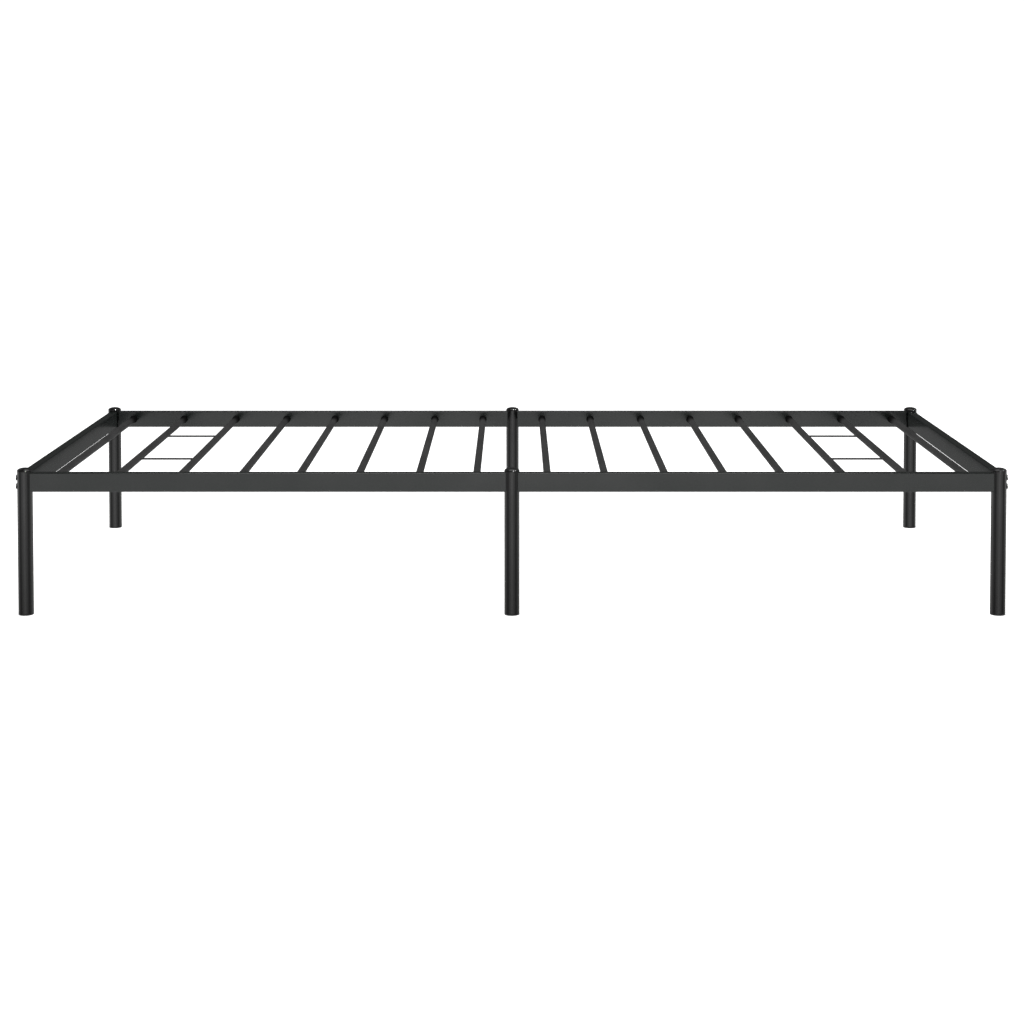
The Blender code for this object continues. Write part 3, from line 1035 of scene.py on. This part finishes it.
# Light from the ground and the ceiling, the same all round
ALL_ROUND = (
    wall_stop(0, 1.0),
    wall_stop(180, 1.0),
)
GROUND_LEVELS = (
    level_stop(-90, 0.22),
    level_stop(-26, 0.28),
    level_stop(-19, 0.0),
)
CEILING_LEVELS = (
    level_stop(0, 0.0),
    level_stop(12, 0.02),
    level_stop(40, 0.06),
)

ROOM = (
    (FRONT_WALLS, FRONT_LEVELS),
    (BACK_WALL, BACK_LEVELS),
    (SIDE_PANELS, SIDE_LEVELS),
    (ALL_ROUND, GROUND_LEVELS),
    (ALL_ROUND, CEILING_LEVELS),
)

# Lamps: name, place, width in metres and power in watts. The sparkles light only the caps and bolts.
TOP_LIGHT = ("top_light", (0, 0, 4.2), 3.0, 150)
SPARKLES = (
    ("key_sparkle", (2.9, -7.0, 5.9), 0.6, 8500),
    ("side_sparkle", (5.4, -1.4, 4.6), 0.5, 1600),
)


def add_camera():
    camera = bpy.data.objects.new("camera", bpy.data.cameras.new("camera"))
    bpy.context.scene.collection.objects.link(camera)
    camera.location = CAMERA_PLACE
    camera.rotation_euler = (math.pi / 2 - CAMERA_PITCH, 0, 0)
    camera.data.lens = CAMERA_LENS
    camera.data.sensor_width = SENSOR_WIDTH
    camera.data.shift_x, camera.data.shift_y = CAMERA_SHIFT
    camera.data.clip_end = VIEW_DISTANCE
    bpy.context.scene.camera = camera


def add_floor():
    """Pale studio floor, lit from below as well as from above so that its shadows stay soft."""
    corners = [Vector((x, y, 0)) for x, y in ((-1, -1), (1, -1), (1, 1), (-1, 1))]
    mesh = bpy.data.meshes.new("floor")
    mesh.from_pydata([corner * FLOOR_REACH for corner in corners], [], [(0, 1, 2, 3)])
    material, tree, shader = new_material("white_floor")
    grain = tree.add("ShaderNodeTexNoise", Scale=40.0)
    shade = tree.shades(grain.outputs["Fac"], 0.78, 0.80)
    tree.feed(shader.inputs["Base Color"], shade)
    shader.inputs["Roughness"].default_value = 1.0
    shader.inputs["Specular IOR Level"].default_value = 0.0
    shader.inputs["Emission Color"].default_value = (1, 1, 1, 1)
    shader.inputs["Emission Strength"].default_value = FLOOR_GLOW
    mesh.materials.append(material)
    floor = bpy.data.objects.new("floor", mesh)
    bpy.context.scene.collection.objects.link(floor)
    floor.visible_glossy = False


def add_softbox(name, place, size, strength, receivers=None):
    """Square soft light aimed at the middle of the bed. It lights only the receivers, if there are any."""
    light = bpy.data.lights.new(name, "AREA")
    light.shape = "SQUARE"
    light.size = size
    light.energy = strength
    lamp = bpy.data.objects.new(name, light)
    bpy.context.scene.collection.objects.link(lamp)
    lamp.location = place
    aim = Vector((0, 0, RAIL_Z)) - Vector(place)
    lamp.rotation_euler = aim.to_track_quat("-Z", "Y").to_euler()
    if receivers:
        lamp.light_linking.receiver_collection = receivers


def add_world():
    """The room that the steel reflects. What the camera sees behind the bed is plain white."""
    world = bpy.data.worlds.new("studio")
    bpy.context.scene.world = world
    world.use_nodes = True
    tree = Tree(world.node_tree)
    background = world.node_tree.nodes["Background"]
    direction = tree.add("ShaderNodeTexCoord").outputs["Generated"]
    axes = tree.add("ShaderNodeSeparateXYZ", Vector=direction)
    backward = tree.maths("MULTIPLY", axes.outputs["Y"], -1.0)
    turn = tree.maths("ARCTAN2", axes.outputs["X"], backward)
    turn = tree.maths("DIVIDE", tree.maths("ABSOLUTE", turn), math.pi)
    height = tree.maths("ADD", tree.maths("MULTIPLY", axes.outputs["Z"], 0.5), 0.5)
    light = 0.0
    for around, upward in ROOM:
        panel = tree.maths("MULTIPLY", tree.ramp(turn, around), tree.ramp(height, upward))
        light = tree.maths("ADD", panel, light)
    tree.feed(background.inputs["Strength"], tree.maths("MULTIPLY", light, ROOM_STRENGTH))
    background.inputs["Color"].default_value = (1, 1, 1, 1)
    backdrop = tree.add("ShaderNodeBackground", Color=(1, 1, 1, 1), Strength=BACKDROP_GLOW)
    seen = tree.add("ShaderNodeLightPath").outputs["Is Camera Ray"]
    choice = tree.add("ShaderNodeMixShader", Fac=seen)
    tree.feed(choice.inputs[1], background.outputs[0])
    tree.feed(choice.inputs[2], backdrop.outputs[0])
    tree.feed(world.node_tree.nodes["World Output"].inputs["Surface"], choice.outputs[0])


def add_studio():
    bpy.context.scene.view_settings.view_transform = "Standard"
    add_camera()
    add_floor()
    add_world()
    add_softbox(*TOP_LIGHT)
    polished = bpy.data.collections.new("caps_and_bolts")
    for piece in bpy.data.objects:
        if piece.name.startswith(("leg_cap_", "corner_bolt_")):
            polished.objects.link(piece)
    for sparkle in SPARKLES:
        add_softbox(*sparkle, receivers=polished)


build_bed()
add_studio()
